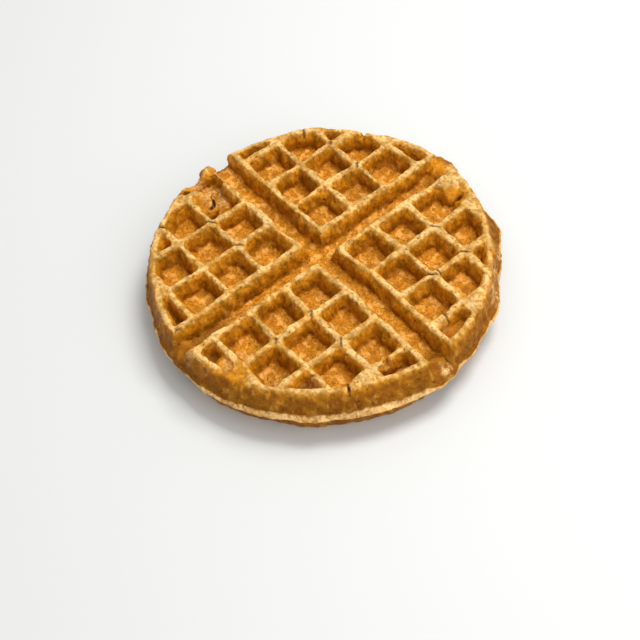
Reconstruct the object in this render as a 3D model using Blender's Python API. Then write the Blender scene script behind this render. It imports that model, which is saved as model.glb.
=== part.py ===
"""A round Belgian waffle of one piece, as it comes out of the iron. Metres, +Z up.

The origin is in the middle of the underside, on the surface that the waffle rests on. The two
crossing grooves run along X and Y and divide each face into four quarters of square pockets.
"""

import itertools
import math
import random

import bmesh
import bpy
from mathutils import Vector, noise

# Driving sizes of the whole waffle
SEAM_RADIUS = 0.0892
THICKNESS = 0.0266
POCKET_PITCH = 0.0212
RIDGE_WIDTH = 0.0029
GROOVE_SPACING = 0.0154
POCKET_DEPTH = 0.0087
WALL_DRAFT = math.radians(17.0)

# The grooves cross a little beside the middle of the seam, and the rim is off its middle too
CROSSING = Vector((-0.0031, 0.0015))
RIM_CENTRE = Vector((-0.0018, 0.0009))

# Rim and the pale seam where the two halves of the iron met
RIM_INNER_RADIUS = SEAM_RADIUS - 0.0078
RIM_OUTER_RADIUS = SEAM_RADIUS - 0.0047
SEAM_ROOT_RADIUS = SEAM_RADIUS - 0.0026
SEAM_HALF_THICKNESS = 0.0015
SEAM_LIP_HALF_THICKNESS = 0.0008
RIM_EDGE_ROUND = 0.0009
RIM_SEGMENTS = 96

# Rounding of the pockets and grooves, and how far their cutters stand out of the face
EDGE_FLARE = 0.0006
EDGE_FLARE_DEPTH = 0.0009
FLOOR_ROUND = 0.0011
CORNER_CUT = 0.0015
CUT_CLEARANCE = 0.0020
GROOVE_REACH = SEAM_RADIUS * 1.2

# Pockets along a quarter, and the least that a pocket reaches inside the rim
CELLS_PER_QUARTER = 4
SMALLEST_CELL = 0.0042

# Corner cells that the batter filled: side along X, side along Y, column and row from the grooves
FILLED_CELLS = {(1, -1, 3, 1), (1, -1, 1, 3), (1, 1, 3, 1)}

# Cracks down from the top of the rim: direction in degrees, width at the top and depth
RIM_CRACKS = (
    (146.2, 0.0016, 0.0030),
    (124.4, 0.0030, 0.0036),
    (-144.2, 0.0016, 0.0030),
    (-31.0, 0.0014, 0.0060),
)
CRACK_TAPER = 0.3

# Gaps across a ridge: place in pockets from the crossing, direction in degrees, width and depth
RIDGE_GAPS = (
    ((3.42, 0.76), 0.0, 0.0018, 0.0040),
    ((3.42, -0.98), 0.0, 0.0052, 0.0050),
    ((0.98, 3.40), 90.0, 0.0034, 0.0048),
)
RIDGE_GAP_REACH = 0.0040

# Gap where the rim broke beside the groove
GAP_DIRECTION = math.radians(-167.6)
GAP_WIDTH = 0.0068
GAP_DEPTH = 0.0072
GAP_TAPER = 0.7

# Lip that curled round before the gap, with a shallow hollow inside it
LIP_CENTRE = (-3.16, -1.36)
LIP_RADIUS = 0.0086
LIP_TURN = (20.0, 195.0)
LIP_WIDTH = 0.0030
LIP_SINK = 0.0008
LIP_STEPS = 9
LIP_SEGMENTS = 16
LIP_HOLLOW_DEPTH = 0.0056

# Section of the curled lip: parts of its width across, and of its height up
LIP_SECTION = ((-0.9, 0.0), (-0.45, 0.8), (0.0, 1.0), (0.45, 0.8), (0.7, 0.0))

# Round blob of batter on the rim behind the gap
BLOB_PLACE = (-3.80, -0.42)
BLOB_RADIUS = 0.0036
BLOB_SINK = 0.0008
BLOB_DETAIL = 2

# Where the outline, or the seam alone, runs out or in: direction and spread in degrees, how far
OUTLINE_BULGES = (
    (106.0, 15.0, 0.0011),
    (-151.0, 8.0, -0.0010),
)
SEAM_BULGES = (
    (63.0, 8.0, 0.0030),
    (86.0, 11.0, 0.0036),
)

# Unevenness of the pockets and grooves
RANDOM_SEED = 11
CELL_SHIFT = 0.00035
CELL_SIZE_CHANGE = 0.00035
CELL_DEPTH_CHANGE = 0.0005
GROOVE_WOBBLE = 0.0004
GROOVE_STATIONS = 9

# Unevenness of the outline, slow waves in it and quick ones in the seam, which both die out inwards
OUTLINE_WOBBLE = 0.0009
OUTLINE_WAVES = 2.1
SEAM_WOBBLE = 0.0011
SEAM_WAVES = 7.5
SEAM_WAVES_UP = 90.0
SEAM_REACH = 3 * SEAM_HALF_THICKNESS
FADE_INWARDS = 4

# Unevenness of the top face, which leaves the flat base as it is
FACE_WOBBLE = 0.0004
FACE_WAVES = 32.0
FLAT_BASE_HEIGHT = 0.0012

# Slices through the noise field that give the outline and the face waves of their own
OUTLINE_SLICE = 3.0
FACE_SLICE = 7.0

# Points closer than this are one point
MERGE_DISTANCE = 0.00002

CRUST_COLOUR = (0.56, 0.27, 0.07, 1.0)
CRUST_ROUGHNESS = 0.55


def clear_scene():
    """Removes every object that the file opened with."""
    for old in list(bpy.data.objects):
        bpy.data.objects.remove(old, do_unlink=True)


def object_from(bm, name):
    """Turns a bmesh into a linked object and frees it."""
    bmesh.ops.recalc_face_normals(bm, faces=bm.faces[:])
    mesh = bpy.data.meshes.new(name)
    bm.to_mesh(mesh)
    bm.free()
    result = bpy.data.objects.new(name, mesh)
    bpy.context.collection.objects.link(result)
    return result


def as_cutter(tool):
    """Marks an object as a tool that is not part of the waffle."""
    tool.hide_render = True
    tool.display_type = "WIRE"
    return tool


def add_boolean(target, tool, operation):
    """Adds a Boolean modifier with the exact solver."""
    boolean = target.modifiers.new(tool.name, "BOOLEAN")
    boolean.object = tool
    boolean.operation = operation
    boolean.solver = "EXACT"


def loft(bm, sections):
    """Joins sections of equally many points into one closed solid with flat ends."""
    rings = [[bm.verts.new(point) for point in section] for section in sections]
    for lower, upper in zip(rings, rings[1:]):
        for k in range(len(lower)):
            after = (k + 1) % len(lower)
            bm.faces.new((lower[k], lower[after], upper[after], upper[k]))
    bm.faces.new(rings[0])
    bm.faces.new(rings[-1])


def direction(angle):
    """Level unit vector at an angle from the X axis."""
    return Vector((math.cos(angle), math.sin(angle)))


def circle(centre, radius, height, segments=RIM_SEGMENTS):
    """Points of a level circle round a centre."""
    places = [centre + direction(2 * math.pi * k / segments) * radius for k in range(segments)]
    return [Vector((place.x, place.y, height)) for place in places]


def turned_body():
    """The plain round cake with its tapered flanks and the seam lip at half height."""
    half = THICKNESS / 2
    middle = Vector((0.0, 0.0))
    lower = [
        (RIM_CENTRE, RIM_OUTER_RADIUS - RIM_EDGE_ROUND, 0.0),
        (RIM_CENTRE, RIM_OUTER_RADIUS, RIM_EDGE_ROUND),
        (middle, SEAM_ROOT_RADIUS, half - SEAM_HALF_THICKNESS),
        (middle, SEAM_RADIUS - SEAM_LIP_HALF_THICKNESS, half - SEAM_LIP_HALF_THICKNESS),
    ]
    upper = [(centre, radius, THICKNESS - height) for centre, radius, height in reversed(lower)]
    profile = lower + [(middle, SEAM_RADIUS, half)] + upper
    bm = bmesh.new()
    loft(bm, [circle(*ring) for ring in profile])
    return object_from(bm, "waffle")


class Face:
    """One of the two patterned faces: its height, and which way its pockets go in."""

    def __init__(self, name, height, inward):
        self.name = name
        self.height = height
        self.inward = inward

    def at_depth(self, depth):
        """Height of a point that lies this deep under the face."""
        return self.height + self.inward * depth


TOP = Face("top", THICKNESS, -1)
UNDERSIDE = Face("underside", 0.0, 1)


def wall_levels(half_width, depth):
    """Pairs of half width and depth down a drafted wall with a flared edge and a rounded foot."""
    slope = math.tan(WALL_DRAFT)
    above = half_width + EDGE_FLARE + CUT_CLEARANCE * slope
    foot = half_width - (depth - FLOOR_ROUND) * slope
    return [
        (above, -CUT_CLEARANCE),
        (half_width + EDGE_FLARE, 0.0),
        (half_width, EDGE_FLARE_DEPTH),
        (foot, depth - FLOOR_ROUND),
        (foot - FLOOR_ROUND, depth),
    ]


def pocket_section(centre, half, cut, height):
    """Eight points of a square with its corners cut off."""
    near = half - cut
    corners = ((half, near), (near, half), (-near, half), (-half, near))
    points = list(corners) + [(-x, -y) for x, y in corners]
    return [Vector((centre.x + x, centre.y + y, height)) for x, y in points]


def add_pocket(bm, face, centre, half, depth):
    """Adds one drafted square pocket to a cutter."""
    sections = [
        pocket_section(centre, width, CORNER_CUT, face.at_depth(level))
        for width, level in wall_levels(half, depth)
    ]
    loft(bm, sections)


def cell_centre(cell):
    """Middle of a pocket: its quarter's sides, then its column and row from the grooves."""
    side_x, side_y, column, row = cell
    out_x = GROOVE_SPACING / 2 + (column + 0.5) * POCKET_PITCH
    out_y = GROOVE_SPACING / 2 + (row + 0.5) * POCKET_PITCH
    return CROSSING + Vector((side_x * out_x, side_y * out_y))


def cell_centres():
    """Middles of the pockets of all four quarters that reach inside the rim."""
    half = (POCKET_PITCH - RIDGE_WIDTH) / 2
    centres = []
    rows = range(CELLS_PER_QUARTER)
    for cell in itertools.product((-1, 1), (-1, 1), rows, rows):
        centre = cell_centre(cell)
        nearest = centre - half * Vector(cell[:2]) - RIM_CENTRE
        if nearest.length < RIM_INNER_RADIUS - SMALLEST_CELL and cell not in FILLED_CELLS:
            centres.append(centre)
    return centres


def pocket_cutter(face, draw):
    """All the pockets of one face, trimmed to the round inside of the rim."""
    half = (POCKET_PITCH - RIDGE_WIDTH) / 2
    bm = bmesh.new()
    for centre in cell_centres():
        shift = Vector((draw.uniform(-1, 1), draw.uniform(-1, 1))) * CELL_SHIFT
        size = half + draw.uniform(-1, 1) * CELL_SIZE_CHANGE
        depth = POCKET_DEPTH + draw.uniform(-1, 1) * CELL_DEPTH_CHANGE
        add_pocket(bm, face, centre + shift, size, depth)
    pockets = as_cutter(object_from(bm, face.name + "_pockets"))
    deepest = POCKET_DEPTH + CELL_DEPTH_CHANGE
    bm = bmesh.new()
    levels = wall_levels(RIM_INNER_RADIUS, deepest)
    loft(bm, [circle(RIM_CENTRE, radius, face.at_depth(depth)) for radius, depth in levels])
    inside = as_cutter(object_from(bm, face.name + "_inside_of_rim"))
    add_boolean(pockets, inside, "INTERSECT")
    return pockets


def groove_cutter(face, along, draw):
    """One groove across the whole face, its width wavering a little from end to end."""
    across = Vector((-along.y, along.x))
    half = (GROOVE_SPACING - RIDGE_WIDTH) / 2
    sections = []
    for k in range(GROOVE_STATIONS):
        station = CROSSING + along * GROOVE_REACH * (2 * k / (GROOVE_STATIONS - 1) - 1)
        walls = []
        for side in (-1, 1):
            width = half + draw.uniform(-1, 1) * GROOVE_WOBBLE
            levels = wall_levels(width, POCKET_DEPTH)
            if side > 0:
                levels.reverse()
            for offset, depth in levels:
                place = station + across * side * offset
                walls.append(Vector((place.x, place.y, face.at_depth(depth))))
        sections.append(walls)
    bm = bmesh.new()
    loft(bm, sections)
    name = face.name + ("_groove_x" if along.x else "_groove_y")
    return as_cutter(object_from(bm, name))


def on_lattice(place):
    """A place given in pockets from the crossing, in metres."""
    return CROSSING + Vector(place) * POCKET_PITCH


def add_notch(bm, ends, widths, depth):
    """Adds a notch down from the top face: widths are at the top and at the bottom of it."""
    across = (ends[1] - ends[0]).normalized()
    across = Vector((-across.y, across.x))
    sections = []
    for end in ends:
        points = []
        for side in (1, -1):
            levels = [(widths[0], THICKNESS + CUT_CLEARANCE), (widths[1], THICKNESS - depth)]
            if side < 0:
                levels.reverse()
            for width, height in levels:
                place = end + across * side * width / 2
                points.append(Vector((place.x, place.y, height)))
        sections.append(points)
    loft(bm, sections)


def crack_cutter():
    """The cracks in the rim, the gaps in the ridges and the broken place in the rim."""
    bm = bmesh.new()
    for degrees, width, depth in RIM_CRACKS:
        outwards = direction(math.radians(degrees))
        ends = (outwards * (RIM_INNER_RADIUS - CUT_CLEARANCE), outwards * SEAM_RADIUS)
        add_notch(bm, ends, (width, width * CRACK_TAPER), depth)
    for place, degrees, width, depth in RIDGE_GAPS:
        outwards = direction(math.radians(degrees))
        middle = on_lattice(place)
        ends = (middle - outwards * RIDGE_GAP_REACH, middle + outwards * RIDGE_GAP_REACH)
        add_notch(bm, ends, (width, width * CRACK_TAPER), depth)
    outwards = direction(GAP_DIRECTION)
    ends = (outwards * (RIM_INNER_RADIUS - LIP_RADIUS / 2), outwards * SEAM_RADIUS)
    add_notch(bm, ends, (GAP_WIDTH, GAP_WIDTH * GAP_TAPER), GAP_DEPTH)
    return as_cutter(object_from(bm, "cracks"))


def lip_hollow_cutter():
    """The shallow round hollow inside the curled lip."""
    centre = on_lattice(LIP_CENTRE)
    inside = LIP_RADIUS - LIP_WIDTH / 2
    bm = bmesh.new()
    sections = []
    for radius, depth in wall_levels(inside, LIP_HOLLOW_DEPTH):
        sections.append(circle(centre, radius, TOP.at_depth(depth), LIP_SEGMENTS))
    loft(bm, sections)
    return as_cutter(object_from(bm, "lip_hollow"))


def curled_lip():
    """The wall of batter that curled round at the broken place."""
    centre = on_lattice(LIP_CENTRE)
    start, stop = (math.radians(degrees) for degrees in LIP_TURN)
    foot = THICKNESS - POCKET_DEPTH - CUT_CLEARANCE / 2
    crest = THICKNESS - LIP_SINK
    sections = []
    for k in range(LIP_STEPS + 1):
        outwards = direction(start + (stop - start) * k / LIP_STEPS)
        points = []
        for part, height in LIP_SECTION:
            radius = LIP_RADIUS + part * LIP_WIDTH
            place = centre + outwards * radius
            points.append(Vector((place.x, place.y, foot + (crest - foot) * height)))
        sections.append(points)
    bm = bmesh.new()
    loft(bm, sections)
    return as_cutter(object_from(bm, "curled_lip"))


def blob():
    """The round blob of batter on the rim behind the gap."""
    centre = on_lattice(BLOB_PLACE).to_3d()
    centre.z = THICKNESS - BLOB_SINK - BLOB_RADIUS
    bm = bmesh.new()
    bmesh.ops.create_icosphere(bm, subdivisions=BLOB_DETAIL, radius=BLOB_RADIUS)
    bmesh.ops.translate(bm, verts=bm.verts[:], vec=centre)
    return as_cutter(object_from(bm, "blob"))


def bulge(around, places):
    """How far a direction is pushed out by a list of bulges."""
    total = 0.0
    for degrees, spread, size in places:
        apart = math.degrees(around.angle(direction(math.radians(degrees))))
        total += size * math.exp(-((apart / spread) ** 2))
    return total


def uneven(point):
    """Moves a point of the true form to where the soft batter left it."""
    outwards = Vector((point.x, point.y))
    if outwards.length < MERGE_DISTANCE:
        return point.copy()
    around = outwards.normalized()
    slow = noise.noise((around * OUTLINE_WAVES).to_3d() + Vector((0, 0, OUTLINE_SLICE)))
    quick = noise.noise((around * SEAM_WAVES).to_3d() + Vector((0, 0, point.z * SEAM_WAVES_UP)))
    at_seam = max(0.0, 1.0 - abs(point.z - THICKNESS / 2) / SEAM_REACH)
    push = OUTLINE_WOBBLE * slow + bulge(around, OUTLINE_BULGES)
    push += at_seam * (SEAM_WOBBLE * quick + bulge(around, SEAM_BULGES))
    push *= (outwards.length / SEAM_RADIUS) ** FADE_INWARDS
    lift = FACE_WOBBLE * noise.noise((outwards * FACE_WAVES).to_3d() + Vector((0, 0, FACE_SLICE)))
    lift *= min(1.0, max(0.0, point.z - FLAT_BASE_HEIGHT) / (THICKNESS / 2))
    return Vector((point.x + around.x * push, point.y + around.y * push, point.z + lift))


def freeze(target):
    """Applies the modifiers, makes the form uneven and centres it over the origin."""
    graph = bpy.context.evaluated_depsgraph_get()
    mesh = bpy.data.meshes.new_from_object(target.evaluated_get(graph))
    target.modifiers.clear()
    target.data = mesh
    bm = bmesh.new()
    bm.from_mesh(mesh)
    bmesh.ops.remove_doubles(bm, verts=bm.verts[:], dist=MERGE_DISTANCE)
    bmesh.ops.triangulate(bm, faces=bm.faces[:])
    for vert in bm.verts:
        vert.co = uneven(vert.co)
    middle = [
        (min(v.co[axis] for v in bm.verts) + max(v.co[axis] for v in bm.verts)) / 2
        for axis in (0, 1)
    ]
    bmesh.ops.translate(bm, verts=bm.verts[:], vec=(-middle[0], -middle[1], 0.0))
    bm.to_mesh(mesh)
    bm.free()


def crust_material():
    """Golden brown crust."""
    material = bpy.data.materials.new("crust")
    material.use_nodes = True
    shader = material.node_tree.nodes["Principled BSDF"]
    shader.inputs["Base Color"].default_value = CRUST_COLOUR
    shader.inputs["Roughness"].default_value = CRUST_ROUGHNESS
    shader.inputs["Metallic"].default_value = 0.0
    return material


def main():
    """Builds the waffle."""
    clear_scene()
    draw = random.Random(RANDOM_SEED)
    waffle = turned_body()
    for face in (TOP, UNDERSIDE):
        add_boolean(waffle, pocket_cutter(face, draw), "DIFFERENCE")
        for along in (Vector((1, 0)), Vector((0, 1))):
            add_boolean(waffle, groove_cutter(face, along, draw), "DIFFERENCE")
    add_boolean(waffle, crack_cutter(), "DIFFERENCE")
    add_boolean(waffle, curled_lip(), "UNION")
    add_boolean(waffle, lip_hollow_cutter(), "DIFFERENCE")
    add_boolean(waffle, blob(), "UNION")
    freeze(waffle)
    waffle.data.materials.clear()
    waffle.data.materials.append(crust_material())
    waffle.data.shade_flat()


main()
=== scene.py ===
"""The looks of a round Belgian waffle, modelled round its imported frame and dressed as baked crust."""

import itertools
import logging
import math
import random
from collections.abc import Callable
from dataclasses import dataclass, field
from enum import Enum

import bpy
import numpy as np
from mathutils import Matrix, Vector, noise
from mathutils.kdtree import KDTree


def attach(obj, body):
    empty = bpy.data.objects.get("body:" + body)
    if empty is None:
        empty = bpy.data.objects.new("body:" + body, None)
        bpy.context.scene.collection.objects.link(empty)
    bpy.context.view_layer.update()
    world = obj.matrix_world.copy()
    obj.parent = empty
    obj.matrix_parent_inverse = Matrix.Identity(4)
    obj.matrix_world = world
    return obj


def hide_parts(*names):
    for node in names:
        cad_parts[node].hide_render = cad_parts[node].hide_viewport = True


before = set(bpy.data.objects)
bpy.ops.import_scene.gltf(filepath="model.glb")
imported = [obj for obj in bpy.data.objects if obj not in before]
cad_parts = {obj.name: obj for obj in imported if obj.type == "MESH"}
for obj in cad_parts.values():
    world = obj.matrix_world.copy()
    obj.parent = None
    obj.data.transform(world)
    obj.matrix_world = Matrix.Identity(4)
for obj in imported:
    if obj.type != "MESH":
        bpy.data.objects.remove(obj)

LOG = logging.getLogger("waffle")
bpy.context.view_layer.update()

Place = tuple[float, float]
Spot = tuple[Place, float]
Bulge = tuple[float, float, float]
Cell = tuple[int, int, int, int]
Tones = tuple[tuple[float, str], ...]
Colour = tuple[float, float, float, float]
Socket = bpy.types.NodeSocket
Value = Socket | float | Colour


class Side(Enum):
    """A patterned face of the waffle, with the way its pockets go in."""

    TOP = -1
    UNDERSIDE = 1

    @property
    def flip(self) -> float:
        """The turn about X that makes a tool press this face."""
        return 0.0 if self is Side.TOP else math.pi


def from_hex(code: str) -> Colour:
    """Turns an sRGB colour code into the linear colour that a shader takes.

    Args:
        code: Six hexadecimal digits.

    Returns:
        Red, green, blue and an alpha of one.
    """
    parts = [int(code[k:k + 2], 16) / 255 for k in (0, 2, 4)]
    linear = [c / 12.92 if c <= 0.04045 else ((c + 0.055) / 1.055) ** 2.4 for c in parts]
    return (linear[0], linear[1], linear[2], 1.0)


def deselect_all() -> None:
    """Leaves edit mode and deselects every object, the frame's nodes among them."""
    if bpy.context.mode != "OBJECT":
        bpy.ops.object.mode_set(mode="OBJECT")
    bpy.ops.object.select_all(action="DESELECT")


def make_active(piece: bpy.types.Object) -> None:
    """Selects one object alone and makes it active.

    Args:
        piece: The object.
    """
    deselect_all()
    piece.select_set(True)
    bpy.context.view_layer.objects.active = piece


def named(name: str) -> bpy.types.Object:
    """Names the active object and its mesh.

    Args:
        name: The name that both get.

    Returns:
        The active object.
    """
    piece = bpy.context.active_object
    piece.name = name
    piece.data.name = name
    return piece


def settle(piece: bpy.types.Object) -> None:
    """Puts an object's place, turn and scale into its mesh."""
    make_active(piece)
    bpy.ops.object.transform_apply(location=True, rotation=True, scale=True)


def apply_modifiers(piece: bpy.types.Object) -> None:
    """Applies all of an object's modifiers in their order.

    Args:
        piece: The object.
    """
    make_active(piece)
    for modifier in list(piece.modifiers):
        bpy.ops.object.modifier_apply(modifier=modifier.name)


def join(pieces: list[bpy.types.Object], name: str) -> bpy.types.Object:
    """Joins objects into one.

    Args:
        pieces: The objects, whose meshes keep their places.
        name: The name of the joined object.

    Returns:
        The joined object.
    """
    make_active(pieces[0])
    for piece in pieces[1:]:
        piece.select_set(True)
    bpy.ops.object.join()
    return named(name)


def boolean(body: bpy.types.Object, tool: bpy.types.Object, operation: str) -> None:
    """Cuts, joins or trims a body with a tool, and removes the tool.

    Args:
        body: The object that stays.
        tool: The closed object that works on it.
        operation: DIFFERENCE, UNION or INTERSECT.
    """
    modifier = body.modifiers.new("work", "BOOLEAN")
    modifier.object = tool
    modifier.operation = operation
    modifier.solver = "EXACT"
    apply_modifiers(body)
    bpy.data.objects.remove(tool, do_unlink=True)


def edge_vector(piece: bpy.types.Object, edge: bpy.types.MeshEdge) -> Vector:
    """Difference between the two ends of an edge."""
    first, last = (piece.data.vertices[k].co for k in edge.vertices)
    return last - first


def edit_where(piece: bpy.types.Object, kind: str, wanted: Callable[[bpy.types.bpy_struct], bool]) -> None:
    """Opens an object for editing with the wanted faces or edges selected.

    Args:
        piece: The object to edit.
        kind: FACE or EDGE.
        wanted: A test that takes one face or edge.
    """
    make_active(piece)
    mesh = piece.data
    bpy.ops.object.mode_set(mode="EDIT")
    bpy.ops.mesh.select_mode(type=kind)
    bpy.ops.mesh.select_all(action="DESELECT")
    bpy.ops.object.mode_set(mode="OBJECT")
    for element in mesh.polygons if kind == "FACE" else mesh.edges:
        element.select = bool(wanted(element))
    bpy.ops.object.mode_set(mode="EDIT")


def looks_down(face: bpy.types.MeshPolygon) -> bool:
    """Tells whether a face looks straight down."""
    return face.normal.z < -0.9


def block(name: str, size: tuple[float, float, float], depth: float) -> bpy.types.Object:
    """Adds a block round the Z axis.

    Args:
        name: The block's name.
        size: Its length, width and height.
        depth: How far its underside lies below the origin.

    Returns:
        The block.
    """
    deselect_all()
    bpy.ops.mesh.primitive_cube_add(size=1.0, location=(0.0, 0.0, size[2] / 2 - depth), scale=size)
    piece = named(name)
    settle(piece)
    return piece


def narrow(piece: bpy.types.Object, grow: tuple[float, float, float]) -> None:
    """Resizes an object's underside, which stays selected in edit mode."""
    edit_where(piece, "FACE", looks_down)
    bpy.ops.transform.resize(value=grow)


def vertex_array(piece: bpy.types.Object, what: str) -> np.ndarray:
    """Reads the places or the normals of an object's vertices.

    Args:
        piece: The object.
        what: co or normal.

    Returns:
        One row of three numbers for each vertex.
    """
    mesh = piece.data
    values = np.zeros(len(mesh.vertices) * 3)
    if what == "normal":
        mesh.vertex_normals.foreach_get("vector", values)
    else:
        mesh.vertices.foreach_get("co", values)
    return values.reshape(-1, 3)


def store(piece: bpy.types.Object, name: str, values: np.ndarray) -> None:
    """Keeps one number for each vertex under a name that a material can read.

    Args:
        piece: The object.
        name: The name of the numbers.
        values: The numbers, in the order of the vertices.
    """
    mesh = piece.data
    layer = mesh.attributes.get(name) or mesh.attributes.new(name, "FLOAT", "POINT")
    layer.data.foreach_set("value", values.astype(np.float32))


def rise(values: np.ndarray, low: float, high: float) -> np.ndarray:
    """Turns values into a smooth rise from 0 at low to 1 at high."""
    part = np.clip((values - low) / (high - low), 0.0, 1.0)
    return part * part * (3.0 - 2.0 * part)


@dataclass(frozen=True)
class Lattice:
    """The grid of pockets that the iron prints, and its place on the round cake.

    All sizes are in metres, and the crossing is where the two grooves meet.
    """

    crossing: Place = (-0.00354, -0.00028)
    pitch: float = 0.0212
    ridge_width: float = 0.0025
    groove_spacing: float = 0.0154
    depth: float = 0.0097
    draft: float = math.radians(18.0)
    thickness: float = 0.0266

    def point(self, place: Place) -> Vector:
        """Turns a place counted in pockets from the crossing into metres."""
        return Vector(self.crossing) + Vector(place) * self.pitch

    def face_height(self, side: Side) -> float:
        """Height of one face over the table."""
        return self.thickness if side is Side.TOP else 0.0

    def cell_centre(self, cell: Cell) -> Vector:
        """Finds the middle of a pocket.

        Args:
            cell: The quarter's side along X and Y, then the column and row from the grooves.

        Returns:
            The middle of the pocket, in metres.
        """
        out_x = self.groove_spacing / 2 + (cell[2] + 0.5) * self.pitch
        out_y = self.groove_spacing / 2 + (cell[3] + 0.5) * self.pitch
        return Vector(self.crossing) + Vector((cell[0] * out_x, cell[1] * out_y))

    @property
    def half_pocket(self) -> float:
        """Half the width of a pocket at the face."""
        return (self.pitch - self.ridge_width) / 2

    @property
    def half_groove(self) -> float:
        """Half the width of a groove at the face."""
        return (self.groove_spacing - self.ridge_width) / 2


@dataclass
class Cake:
    """The plain round cake, with its tapered flanks and the pale seam."""

    lattice: Lattice
    centre: Place = (-0.00044, -0.00178)
    rim_centre: Place = (-0.00224, -0.00088)
    seam_radius: float = 0.0892
    seam_root: float = 0.0866
    rim_radius: float = 0.0845
    inner_radius: float = 0.0814
    edge_round: tuple[Place, ...] = ((0.0019, 0.0), (0.0009, 0.0005), (0.0, 0.0018))
    base_round: tuple[Place, ...] = ((0.0003, 0.0), (-0.0006, 0.0005), (-0.0012, 0.0016))
    seam_half: float = 0.0020
    seam_lip: float = 0.0010
    segments: int = 192

    def build(self) -> bpy.types.Object:
        """Draws the outline up from a flat disc by extruding and resizing its face.

        Returns:
            The closed round cake.
        """
        middle = self.lattice.thickness / 2
        seam = [
            (self.centre, self.seam_root, middle - self.seam_half),
            (self.centre, self.seam_radius - self.seam_lip, middle - self.seam_lip),
            (self.centre, self.seam_radius, middle),
            (self.centre, self.seam_radius - self.seam_lip, middle + self.seam_lip),
            (self.centre, self.seam_root, middle + self.seam_half),
        ]
        top = self.lattice.thickness
        lower = [(self.rim_centre, self.rim_radius - inwards, z) for inwards, z in self.base_round]
        upper = [(self.rim_centre, self.rim_radius - inwards, top - z) for inwards, z in self.edge_round]
        rings = lower + seam + upper[::-1]
        centre, radius, height = rings[0]
        deselect_all()
        bpy.ops.mesh.primitive_circle_add(
            vertices=self.segments, radius=radius, fill_type="NGON", location=(*centre, height)
        )
        cake = named("waffle_crust")
        settle(cake)
        bpy.ops.object.mode_set(mode="EDIT")
        bpy.ops.mesh.select_all(action="SELECT")
        for before, after in zip(rings, rings[1:]):
            move = (after[0][0] - before[0][0], after[0][1] - before[0][1], after[2] - before[2])
            bpy.ops.mesh.extrude_region_move(TRANSFORM_OT_translate={"value": move})
            grow = after[1] / before[1]
            bpy.ops.transform.resize(value=(grow, grow, 1.0), center_override=(*after[0], after[2]))
        bpy.ops.mesh.select_all(action="SELECT")
        bpy.ops.mesh.normals_make_consistent(inside=False)
        bpy.ops.object.mode_set(mode="OBJECT")
        return cake


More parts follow.
